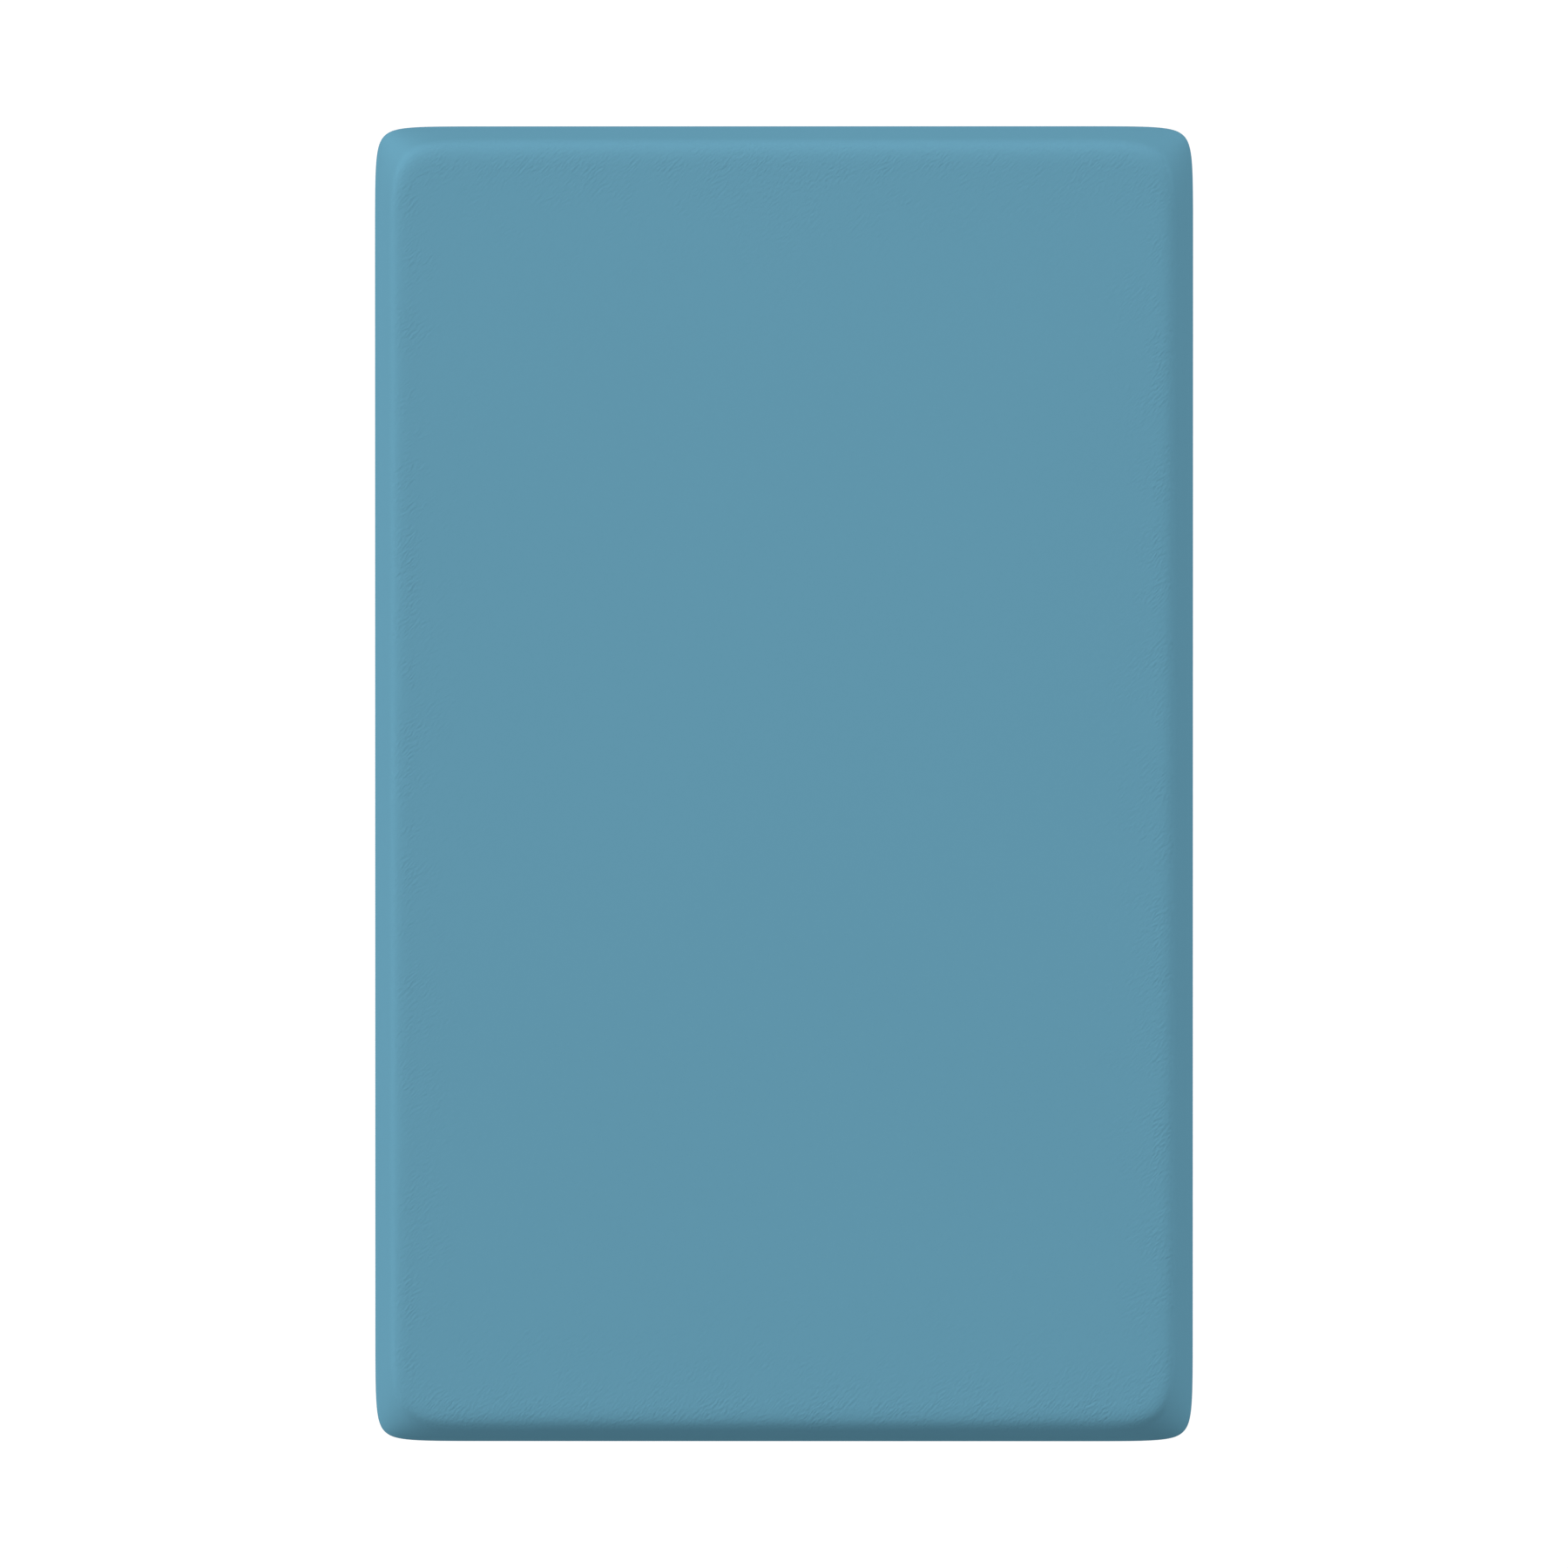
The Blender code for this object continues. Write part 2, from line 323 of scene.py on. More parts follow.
def make_piece(name, skins, slot, material, **attributes):
    """One object from closed skins, each turned so that its faces point outwards."""
    points, faces, start = [], [], 0
    for skin_points, skin_faces in skins:
        turned = volume(skin_points, skin_faces) < 0.0
        for group in skin_faces:
            faces += ((group[:, ::-1] if turned else group) + start).tolist()
        points.append(skin_points)
        start += len(skin_points)
    mesh = bpy.data.meshes.new(name)
    mesh.from_pydata(np.concatenate(points).tolist(), [], faces)
    mesh.shade_smooth()
    for key, values in attributes.items():
        mesh.attributes.new(key, "FLOAT", "POINT").data.foreach_set("value", values)
    mesh.materials.append(material)
    mesh.update()
    piece = bpy.data.objects.new(name, mesh)
    bpy.context.scene.collection.objects.link(piece)
    return piece


def finish_piece(piece, *nodes):
    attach(piece, BODY)
    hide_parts(*nodes)


def box_of(node):
    """A CAD node's middle and half size."""
    low, high = (np.array(corner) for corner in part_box(node))
    return (low + high) / 2.0, (high - low) / 2.0


# ---------------------------------------------------------------- materials


class Recipe:
    """A material's nodes, added one by one and linked as they are made."""

    def __init__(self, name):
        self.material = bpy.data.materials.new(name)
        self.material.use_nodes = True
        self.tree = self.material.node_tree
        self.shader = self.tree.nodes["Principled BSDF"]

    def put(self, socket, value):
        if isinstance(value, bpy.types.NodeSocket):
            self.tree.links.new(value, socket)
        else:
            socket.default_value = value

    def node(self, kind, inputs=(), **settings):
        made = self.tree.nodes.new(f"ShaderNode{kind}")
        for key, value in settings.items():
            setattr(made, key, value)
        for key, value in dict(inputs).items():
            self.put(made.inputs[key], value)
        return made

    def place(self):
        return self.node("TexCoord").outputs["Object"]

    def mapped(self, scale, turn=(0.0, 0.0, 0.0)):
        """Object coordinates in metres, turned and then scaled."""
        turned = self.node("Mapping", {"Vector": self.place(), "Rotation": turn})
        return self.node("Mapping", {"Vector": turned.outputs[0], "Scale": scale}).outputs[0]

    def noise(self, vector, scale, detail=2.0, roughness=0.5, distortion=0.0):
        inputs = {
            "Vector": vector, "Scale": scale, "Detail": detail, "Roughness": roughness,
            "Distortion": distortion,
        }
        return self.node("TexNoise", inputs).outputs["Fac"]

    def cells(self, scale):
        """Distance to the nearest of many scattered points."""
        inputs = {"Vector": self.place(), "Scale": scale}
        return self.node("TexVoronoi", inputs).outputs["Distance"]

    def ramp(self, value, low, high, out_low=0.0, out_high=1.0):
        inputs = {
            "Value": value, "From Min": low, "From Max": high, "To Min": out_low,
            "To Max": out_high,
        }
        return self.node("MapRange", inputs, interpolation_type="SMOOTHSTEP").outputs[0]

    def math(self, operation, a, b):
        return self.node("Math", {0: a, 1: b}, operation=operation).outputs[0]

    def mix(self, factor, a, b):
        """Blend two colours, each a socket or a plain red, green and blue."""
        made = self.node("Mix", data_type="RGBA")
        self.put(made.inputs["Factor"], factor)
        for key, value in ((6, a), (7, b)):
            linked = isinstance(value, bpy.types.NodeSocket)
            self.put(made.inputs[key], value if linked else (*value, 1.0))
        return made.outputs[2]

    def bump(self, height, distance, strength=1.0, under=None):
        inputs = {"Height": height, "Distance": distance, "Strength": strength}
        if under:
            inputs["Normal"] = under
        return self.node("Bump", inputs).outputs[0]

    def finish(self, color, roughness, normal=None, **constants):
        self.put(self.shader.inputs["Base Color"], color)
        self.put(self.shader.inputs["Roughness"], roughness)
        if normal:
            self.put(self.shader.inputs["Normal"], normal)
        for key, value in constants.items():
            self.shader.inputs[key.replace("_", " ")].default_value = value
        return self.material


def shade(color, factor):
    return tuple(min(1.0, channel * factor) for channel in color)


def plastic_material(back):
    """Matte moulded plastic.

    The grain is noise drawn out along a diagonal, in patches, as deep as the piece's own
    attribute says: full on the rounding, faint on the face and none on the side walls.
    """
    recipe = Recipe("blue_plastic")
    depth = recipe.node("Attribute", attribute_name="grain").outputs["Fac"]
    ridges = recipe.noise(
        recipe.mapped((0.45, 1.0, 1.0), (0.0, 0.0, math.radians(-48.0))),
        1.7 / back.grain_pitch, 1.0, 0.4, 0.15,
    )
    patches = recipe.ramp(recipe.noise(recipe.place(), 330.0, 1.0), 0.35, 0.65, 0.45, 1.0)
    level = recipe.math("SUBTRACT", ridges, 0.5)
    height = recipe.math("MULTIPLY", recipe.math("MULTIPLY", level, patches), depth)
    normal = recipe.bump(height, back.grain_depth)
    cloud = recipe.noise(recipe.place(), 28.0, 3.0)
    color = recipe.mix(
        recipe.ramp(cloud, 0.3, 0.7), shade(back.color, 0.995), shade(back.color, 1.005)
    )
    roughness = recipe.ramp(recipe.noise(recipe.place(), 600.0, 2.0), 0.3, 0.7, 0.70, 0.78)
    return recipe.finish(color, roughness, normal, Specular_IOR_Level=0.0)


def felt_material(pad):
    """Pressed wool: dark wool with pale hairs, each drawn out along its own lie."""
    recipe = Recipe("charcoal_felt")
    lie_one = recipe.mapped((1.0, 0.14, 0.5), (0.3, 0.5, 0.6))
    lie_two = recipe.mapped((0.16, 1.0, 0.6), (-0.4, 0.2, -0.5))
    hairs_one = recipe.noise(lie_one, 4200.0, 2.0, 0.6, 1.0)
    hairs_two = recipe.noise(lie_two, 3600.0, 2.0, 0.6, 1.2)
    pale = recipe.math(
        "MAXIMUM", recipe.ramp(hairs_one, 0.56, 0.74), recipe.ramp(hairs_two, 0.58, 0.76)
    )
    blotch = recipe.ramp(recipe.noise(recipe.place(), 260.0, 3.0), 0.3, 0.7, 0.45, 1.0)
    color = recipe.mix(recipe.math("MULTIPLY", pale, blotch), pad.felt_dark, pad.felt_light)
    height = recipe.math("ADD", hairs_one, hairs_two)
    lumps = recipe.noise(recipe.place(), 900.0, 3.0, 0.6)
    normal = recipe.bump(height, 0.10 * MM, 1.0, recipe.bump(lumps, 0.25 * MM))
    return recipe.finish(
        color, 0.95, normal, Specular_IOR_Level=0.1, Sheen_Weight=0.25, Sheen_Roughness=0.6
    )


def foam_material(pad):
    """Open-cell foam: round cells of two sizes, with painted shade darkening the inside of each
    pore.
    """
    recipe = Recipe("grey_foam")
    large, small = recipe.cells(1500.0), recipe.cells(3600.0)
    wide, narrow = recipe.ramp(large, 0.15, 0.6), recipe.ramp(small, 0.05, 0.5, 0.6)
    wall = recipe.math("MULTIPLY", wide, narrow)
    # painted shade: each pore's middle is darkened to 0.35 of the foam's colour, the walls between
    # pores keep it
    color = recipe.mix(wall, shade(pad.foam_color, 0.35), pad.foam_color)
    return recipe.finish(color, 0.92, recipe.bump(wall, 0.15 * MM), Specular_IOR_Level=0.2)


def board_material(pad):
    """Hardboard: pressed brown fibres with dark and pale flecks."""
    recipe = Recipe("hardboard")
    along = recipe.mapped((1.0, 0.3, 1.0), (0.0, 0.0, 0.5))
    across = recipe.mapped((0.3, 1.0, 1.0), (0.0, 0.0, -0.4))
    fibres = recipe.noise(along, 1300.0, 4.0, 0.65, 1.5)
    crossing = recipe.noise(across, 1100.0, 4.0, 0.65, 1.5)
    color = recipe.mix(
        recipe.ramp(fibres, 0.3, 0.7), shade(pad.board_color, 0.6), shade(pad.board_color, 1.25)
    )
    color = recipe.mix(recipe.ramp(crossing, 0.55, 0.8), color, shade(pad.board_color, 1.9))
    height = recipe.math("ADD", fibres, crossing)
    return recipe.finish(color, 0.75, recipe.bump(height, 0.05 * MM), Specular_IOR_Level=0.3)


def thread_material(pad):
    """Waxed cotton: fine hairs along the plies, with a slight shine."""
    recipe = Recipe("waxed_cotton")
    hairs = recipe.noise(recipe.mapped((0.3, 1.0, 1.0)), 9000.0, 3.0, 0.6)
    color = recipe.mix(
        recipe.ramp(hairs, 0.35, 0.7), shade(pad.thread_color, 0.75), shade(pad.thread_color, 1.1)
    )
    return recipe.finish(color, 0.6, recipe.bump(hairs, 0.03 * MM), Specular_IOR_Level=0.4)


def floor_material(studio):
    """A pale table lit from above and from below. Its glow is dimmed by ambient occlusion for a few
    millimetres around what stands on it: a painted contact shadow."""
    recipe = Recipe("studio_floor")
    open_sky = recipe.node("AmbientOcclusion", {"Distance": SHADE_REACH}, samples=4).outputs["AO"]
    recipe.put(recipe.shader.inputs["Emission Color"], (1.0, 1.0, 1.0, 1.0))
    # Painted contact shadow: the glow drops to 0.35 of its strength where ambient occlusion finds
    # the floor hidden
    recipe.put(
        recipe.shader.inputs["Emission Strength"],
        recipe.ramp(open_sky, 0.0, 0.8, 0.35 * studio.floor_glow, studio.floor_glow),
    )
    return recipe.finish((*studio.floor_color, 1.0), 1.0, Specular_IOR_Level=0.0)


def backdrop_material(studio):
    """The pale wall that the floor sweeps up into."""
    recipe = Recipe("studio_backdrop")
    recipe.put(recipe.shader.inputs["Emission Color"], (1.0, 1.0, 1.0, 1.0))
    return recipe.finish(
        (*studio.floor_color, 1.0), 1.0, Specular_IOR_Level=0.0,
        Emission_Strength=1.05 * studio.floor_glow,
    )


# ---------------------------------------------------------------- the back

CORNER_STEPS = 17  # stations on each half of a corner
SIDE_STEPS = (22, 14)  # stations on half of a long side and of a short end
# Shares of the way from the face's middle to its end, closer together near the end
CAP_SHARES = 1.0 - np.linspace(1.0, 0.0, 19)[1:] ** 2
BEND_STEPS = 14  # rings on each half of the rounding
WALL_STEPS = 12
RIM_STEPS = 6  # rings on each of the rim's two edges
# Near and far control distances of the eased corners, in plan
RIM_CORNER = (4.8 * MM, 37.0 * MM)
EDGE_CORNER = (7.4 * MM, 15.0 * MM)
FACE_CORNER = (3.5 * MM, 13.5 * MM)
INNER_RIM_CORNER = (3.0 * MM, 30.0 * MM)
INNER_EDGE_CORNER = (4.0 * MM, 14.0 * MM)
INNER_FACE_CORNER = (2.2 * MM, 12.0 * MM)
INNER_BEND = 1.0 * MM
RIBS_ALONG = (-12.0 * MM, 12.0 * MM)
RIBS_ACROSS = (-34.0 * MM, -11.5 * MM, 11.5 * MM, 34.0 * MM)
RIB_THICK = 1.2 * MM
RIB_Z = 25.5 * MM  # lower side of the ribs
RIB_SINK = 0.3 * MM  # how far the ribs reach up into the ceiling
RIB_ROUND = 0.3 * MM
# The grain's depth at the middle of the face, where the face ends and at the sharp edge, as
# shares of the full depth. It is full where the rounding begins.
FACE_GRAIN = 0.18
FACE_END_GRAIN = 0.7
EDGE_GRAIN = 0.6


def half_corner(near, far, slopes):
    """Points from a corner's middle to its side, as (along, off) that side.

    The curve is the cubic B-spline whose control points are the sharp corner itself, one
    `near` away and one `far` away. A point is where the curve makes the given angle with
    the side: there t solves a quadratic. Outlines with the same angles pair up point by point.
    """
    tangent = np.tan(slopes)
    a = tangent * (far - 3.0 * near) - near
    b = 2.0 * near * (tangent + 1.0)
    c = near * (tangent - 1.0)
    t = 2.0 * c / (-b - np.sqrt(b * b - 4.0 * a * c))
    along = near * (1.0 + 3.0 * t + 3.0 * t**2 - 3.0 * t**3) / 6.0 + far * t**3 / 6.0
    off = near * (1.0 - t) ** 3 / 6.0
    return along, off


def eased_outline(half, corner):
    """A rectangle with eased corners, anticlockwise from +X: two straight halves of the sides
    and a corner between them, mirrored into the other three quarters."""
    slopes = math.radians(45.0) * np.linspace(1.0, 0.0, CORNER_STEPS) ** 2
    along, off = half_corner(*corner, slopes)
    up_side = np.stack([half[0] - off, half[1] - along], axis=1)[::-1]
    on_end = np.stack([half[0] - along, half[1] - off], axis=1)[1:]
    share_side = np.linspace(0.0, 1.0, SIDE_STEPS[0], endpoint=False)
    share_end = np.linspace(1.0, 0.0, SIDE_STEPS[1] + 1)[1:]
    side = np.stack([np.full(len(share_side), half[0]), up_side[0, 1] * share_side], axis=1)
    end = np.stack([on_end[-1, 0] * share_end, np.full(len(share_end), half[1])], axis=1)
    quarter = np.concatenate([side, up_side, on_end, end])
    return np.concatenate([
        quarter,
        (quarter * [-1.0, 1.0])[::-1][1:],
        -quarter[1:],
        (quarter * [1.0, -1.0])[::-1][1:-1],
    ])


def at_height(outline, z):
    return np.column_stack([outline, np.full(len(outline), z)])


def cup_rings(half, base_z, height, lean, bend, corners, foot_z):
    """Rings of a drafted cup, from the middle of its top down to its foot.

    The walls run straight from the sharp upper edge to the rim. The rounding is the uniform
    cubic B-spline through that edge: its control points stand one `bend` in from the edge on
    the flat face, on the edge, and as far down the wall.
    """
    edge_half = half - height * math.tan(lean)
    rim = at_height(eased_outline(half, corners[0]), base_z)
    edge = at_height(eased_outline(edge_half, corners[1]), base_z + height)
    face = at_height(eased_outline(edge_half - bend, corners[2]), base_z + height)
    inwards = face - edge
    downwards = rim - edge
    reach = np.linalg.norm(inwards, axis=1) / np.linalg.norm(downwards, axis=1)
    downwards *= reach[:, None]
    t = np.linspace(0.0, 1.0, BEND_STEPS + 1)[:, None, None]
    near_part = (1.0 + 3.0 * t + 3.0 * t**2 - t**3) / 6.0
    far_part = (1.0 - t) ** 3 / 6.0
    upper = (edge + inwards * near_part + downwards * far_part)[::-1]
    lower = (edge + inwards * far_part + downwards * near_part)[1:]
    middle = np.array([0.0, 0.0, base_z + height])
    cap = middle + (face - middle) * CAP_SHARES[:-1, None, None]
    foot = rim + (edge - rim) * ((foot_z - base_z) / height)
    wall_start = edge + downwards
    share = np.linspace(0.0, 1.0, WALL_STEPS + 1)[1:, None, None]
    wall = wall_start + (foot - wall_start) * share
    return cap, upper, lower, wall


def rim_rings(outer, inner, round_off, base_z):
    """Rings under the wall, from its outer foot to its inner one: a quarter circle, the flat
    rim and another quarter circle."""
    turn = np.linspace(0.0, math.pi / 2.0, RIM_STEPS + 1)
    across = (inner - outer) * [1.0, 1.0, 0.0]
    width = np.linalg.norm(across, axis=1)[:, None]
    rings = []
    for angle in turn[1:]:
        place = outer + across / width * round_off * (1.0 - math.cos(angle))
        place[:, 2] = base_z + round_off * (1.0 - math.sin(angle))
        rings.append(place)
    for angle in turn[::-1][:-1]:
        place = inner - across / width * round_off * (1.0 - math.cos(angle))
        place[:, 2] = base_z + round_off * (1.0 - math.sin(angle))
        rings.append(place)
    return np.array(rings)


def rib_skins(half, ceiling_z, back):
    """The ribs under the back's ceiling: long rounded bars sunk a little into it."""
    lean = (ceiling_z - RIB_Z) * math.tan(back.draft)
    reach = half - (back.wall + ceiling_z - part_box("back_shell")[0][2]) * math.tan(back.draft)
    z = (RIB_Z, ceiling_z + RIB_SINK)
    skins = []
    for x in RIBS_ALONG:
        low, high = (x - RIB_THICK / 2.0, -reach[1] - lean), (x + RIB_THICK / 2.0, reach[1] + lean)
        skins.append(tube_skin(slab_rings(low, high, *z, RIB_ROUND, RIB_ROUND, 3)))
    for y in RIBS_ACROSS:
        low, high = (-reach[0] - lean, y - RIB_THICK / 2.0), (reach[0] + lean, y + RIB_THICK / 2.0)
        skins.append(tube_skin(slab_rings(low, high, *z, RIB_ROUND, RIB_ROUND, 3)))
    return skins


class ERASER_OT_back(Operator):
    """Make the moulded back: a drafted cup with a rounded top edge and grain on its rounding"""

    bl_idname = "eraser.back"
    bl_label = "Back"

    def execute(self, context):
        back = context.scene.eraser_back
        middle, size = box_of("back_shell")
        half, height, base_z = size[:2], 2.0 * size[2], middle[2] - size[2]
        foot_z = base_z + back.rim_round
        bend = np.array([back.side_bend, back.end_bend])
        outer = cup_rings(
            half, base_z, height, back.draft, bend, (RIM_CORNER, EDGE_CORNER, FACE_CORNER), foot_z
        )
        inner = cup_rings(
            half - back.wall, base_z, height - back.wall, back.draft, np.full(2, INNER_BEND),
            (INNER_RIM_CORNER, INNER_EDGE_CORNER, INNER_FACE_CORNER), foot_z,
        )
        inside = np.concatenate(inner)[::-1]
        rim = rim_rings(outer[3][-1], inside[0], back.rim_round, base_z)
        rings = np.concatenate([*outer, rim, inside])
        stations = rings.shape[1]
        depth = np.concatenate([
            FACE_GRAIN + (FACE_END_GRAIN - FACE_GRAIN) * CAP_SHARES[:-1] ** 10,
            np.linspace(1.0, EDGE_GRAIN, len(outer[1])),
            np.linspace(EDGE_GRAIN, 0.0, len(outer[2])),
            np.zeros(len(rings) - len(outer[0]) - len(outer[1]) - len(outer[2])),
        ])
        grain = np.append(np.repeat(depth, stations), [FACE_GRAIN, 0.0])
        ribs = rib_skins(half - back.wall, base_z + height - back.wall, back)
        grain = np.append(grain, np.zeros(sum(len(points) for points, _ in ribs)))
        piece = make_piece(
            "moulded_back", [tube_skin(rings), *ribs], "blue_plastic", plastic_material(back),
            grain=grain,
        )
        finish_piece(piece, "back_shell")
        return {"FINISHED"}


# ---------------------------------------------------------------- the pad

PAD_CORNER = 2.6 * MM  # corner radius of the foam and the board, in plan
FOAM_EDGE = 1.2 * MM
FOAM_SWELL = 0.45 * MM  # how far pressure bulges the foam's sides
BOARD_EDGE = 0.4 * MM
SHEET_RISE = 0.8 * MM  # height of one band of faces up the foam and the board
FELT_CORNER = 0.9 * MM
FELT_GRID = 0.9 * MM  # size of the faces on a felt strip
PULL_REACH = 3.2 * MM  # how far round a thread the felt is drawn in
PULL_DEPTH = 0.22 * MM
FIBRE_RADIUS = 0.020 * MM
FIBRE_BAND = 1.4 * MM  # fibres grow only this near to the pad's outer sides
THREAD_RADIUS = 0.6 * MM
KNOT_RADIUS = 1.3 * MM
KNOT_CORD = 0.38 * MM  # radius of the turn of thread that a knot is made of
KNOT_INSET = 0.4 * MM
PLY_LAY = 2.2 * MM  # length of one full twist of the thread's plies
HOLE_RADIUS = 0.75 * MM


def blow(piece, cap, frames=20):
    """Swell a closed mesh by a short cloth simulation under pressure and keep the result.

    No point ends further than `cap` from where it began.
    """
    mesh = piece.data
    start = np.empty(len(mesh.vertices) * 3)
    mesh.vertices.foreach_get("co", start)
    cloth = piece.modifiers.new("swell", "CLOTH")
    cloth.settings.quality = 6
    cloth.settings.mass = 0.2
    cloth.settings.tension_stiffness = 8.0
    cloth.settings.compression_stiffness = 8.0
    cloth.settings.use_pressure = True
    cloth.settings.uniform_pressure_force = 4.0
    cloth.settings.effector_weights.gravity = 0.0
    scene = bpy.context.scene
    for number in range(1, frames + 1):
        scene.frame_set(number)
    shaped = piece.evaluated_get(bpy.context.evaluated_depsgraph_get()).data
    end = np.empty_like(start)
    shaped.vertices.foreach_get("co", end)
    piece.modifiers.remove(cloth)
    scene.frame_set(1)
    start, move = start.reshape(-1, 3), (end - start).reshape(-1, 3)
    length = np.linalg.norm(move, axis=1, keepdims=True)
    if not np.isfinite(length).all() or length.max() < 0.01 * cap:
        raise RuntimeError(f"{piece.name}: the simulation did not swell the piece")
    move *= cap * np.tanh(length / cap) / np.maximum(length, 1e-9)
    return start + move


class ERASER_OT_foam(Operator):
    """Make the foam cushion: a slab blown up by cloth pressure until its sides bulge"""

    bl_idname = "eraser.foam"
    bl_label = "Foam cushion"

    def execute(self, context):
        pad = context.scene.eraser_pad
        middle, half = box_of("foam_cushion")
        low, high = (middle - half)[:2] + FOAM_SWELL, (middle + half)[:2] - FOAM_SWELL
        bottom, top = middle[2] - half[2], middle[2] + half[2]
        rings = slab_rings(
            low, high, bottom, top, PAD_CORNER, FOAM_EDGE, 4, 2.0 * MM, rise=SHEET_RISE, caps=9
        )
        piece = make_piece("foam_cushion_soft", [tube_skin(rings)], "grey_foam", foam_material(pad))
        points = blow(piece, FOAM_SWELL)
        points[:, 2] = np.clip(points[:, 2], bottom, top)
        piece.data.vertices.foreach_set("co", points.ravel())
        finer = piece.modifiers.new("finer", "SUBSURF")
        finer.levels = finer.render_levels = 1
        finish_piece(piece, "foam_cushion")
        return {"FINISHED"}


class ERASER_OT_board(Operator):
    """Make the hardboard that the felt strips are glued to"""

    bl_idname = "eraser.board"
    bl_label = "Backing board"

    def execute(self, context):
        pad = context.scene.eraser_pad
        middle, half = box_of("backing_board")
        rings = slab_rings(
            (middle - half)[:2], (middle + half)[:2], middle[2] - half[2], middle[2] + half[2],
            PAD_CORNER, BOARD_EDGE, 5, rise=SHEET_RISE,
        )
        piece = make_piece("hardboard_panel", [tube_skin(rings)], "hardboard", board_material(pad))
        finish_piece(piece, "backing_board")
        return {"FINISHED"}


def strip_skin(middle, half, number, pad):
    """A strip of thick felt: a soft-edged slab standing on its edge.

    Its faces rise and fall by two waves, one long and one short, and draw in where the threads
    pull on them.
    """
    low, high = np.array([-half[2], -half[1]]), np.array([half[2], half[1]])
    rings = slab_rings(
        low, high, -half[0], half[0], FELT_CORNER, pad.felt_edge, 5, FELT_GRID, rise=FELT_GRID,
        caps=13,
    )
    points, faces = tube_skin(rings)
    x, y, z = points[:, 2].copy(), points[:, 1].copy(), -points[:, 0].copy()
    points = np.stack([x, y, z], axis=1) + middle
    outward = np.stack([x / half[0], y / half[1], z / half[2]], axis=1) ** 5
    slow = waves(points, 100 + number, 14, 45.0 * MM, 14.0 * MM)
    quick = waves(points, 200 + number, 40, 4.0 * MM, 1.6 * MM)
    size = pad.felt_waver * (0.45 * slow + 0.55 * quick)
    pull = np.zeros(len(points))
    for node in THREAD_NODES:
        thread, _ = box_of(node)
        apart = np.hypot(points[:, 1] - thread[1], points[:, 2] - thread[2])
        pull += np.exp(-((apart / PULL_REACH) ** 2))
    move = np.stack([
        size - PULL_DEPTH * pull,
        0.9 * size + 0.25 * MM * slow - 0.25 * MM,
        0.5 * size - 0.5 * pad.felt_waver,
    ], axis=1)
    points += outward * move
    points[:, 2] = np.maximum(points[:, 2], 0.0)
    return points, faces


class ERASER_OT_felt(Operator):
    """Make the felt strips, with holes where the threads pass, and the loose fibres on them"""

    bl_idname = "eraser.felt"
    bl_label = "Felt strips"

    def execute(self, context):
        pad = context.scene.eraser_pad
        felt = felt_material(pad)
        skins = [
            strip_skin(*box_of(node), number, pad) for number, node in enumerate(FELT_NODES)
        ]
        awl = self.make_awl(felt)
        for node, skin in zip(FELT_NODES, skins):
            piece = make_piece(f"{node}_soft", [skin], "charcoal_felt", felt)
            cut = piece.modifiers.new("holes", "BOOLEAN")
            cut.operation = "DIFFERENCE"
            cut.solver = "EXACT"
            cut.object = awl
            shaped = piece.evaluated_get(context.evaluated_depsgraph_get())
            mesh = bpy.data.meshes.new_from_object(shaped)
            piece.modifiers.clear()
            piece.data = mesh
            mesh.shade_smooth()
            finish_piece(piece, node)
        bpy.data.objects.remove(awl)
        fibres = make_piece("loose_fibres", [self.fibre_skin(skins, pad)], "charcoal_felt", felt)
        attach(fibres, BODY)
        return {"FINISHED"}

    def make_awl(self, material):
        """Round rods along the threads, to cut the holes with."""
        reach = 1.2 * box_of("back_shell")[1][0]
        paths = np.array([
            [(-reach, *box_of(node)[0][1:]), (reach, *box_of(node)[0][1:])] for node in THREAD_NODES
        ])
        return make_piece("awl", [swept_skin(paths, HOLE_RADIUS, 16)], "charcoal_felt", material)

    def fibre_skin(self, skins, pad):
        """Thin curved hairs that lie against the felt and lift off it at their free ends.

        A hair's point at t is its root, plus its length times t along its lie, plus a bow
        across that grows with the square of t.
        """
        random = np.random.default_rng(7)
        surface = np.concatenate([points for points, _ in skins])
        pad_low, pad_high = surface.min(axis=0), surface.max(axis=0)
        out = np.zeros_like(surface)
        out[:, 0] += surface[:, 0] > pad_high[0] - FIBRE_BAND
        out[:, 0] -= surface[:, 0] < pad_low[0] + FIBRE_BAND
        out[:, 1] += surface[:, 1] > pad_high[1] - FIBRE_BAND
        out[:, 1] -= surface[:, 1] < pad_low[1] + FIBRE_BAND
        shown = np.flatnonzero(np.abs(out).sum(axis=1) > 0.0)
        roots = random.choice(shown, pad.fibres * len(skins) // 2)
        count = len(roots)
        away = out[roots] / np.linalg.norm(out[roots], axis=1, keepdims=True)
        root = surface[roots] + random.normal(size=(count, 3)) * 0.35 * MM * (1.0 - np.abs(away))
        lie = random.normal(size=(count, 3)) * (1.0, 1.0, 0.8)
        lie -= away * (lie * away).sum(axis=1, keepdims=True)
        lie /= np.linalg.norm(lie, axis=1, keepdims=True)
        bow = random.normal(size=(count, 3)) * 0.35
        length = pad.fibre_length * random.lognormal(0.0, 0.4, (count, 1, 1))
        t = np.linspace(0.0, 1.0, 5)[None, :, None]
        lift = random.random((count, 1, 1)) * 0.30
        paths = root[:, None] + length * (
            lie[:, None] * t + bow[:, None] * t**2 + away[:, None] * (lift * t**2 + 0.01)
        )
        paths[:, :, 2] = np.clip(paths[:, :, 2], 0.06 * MM, pad_high[2] - 0.1 * MM)
        return swept_skin(paths, FIBRE_RADIUS * (1.15 - 0.8 * t[0, :, 0]), 3)


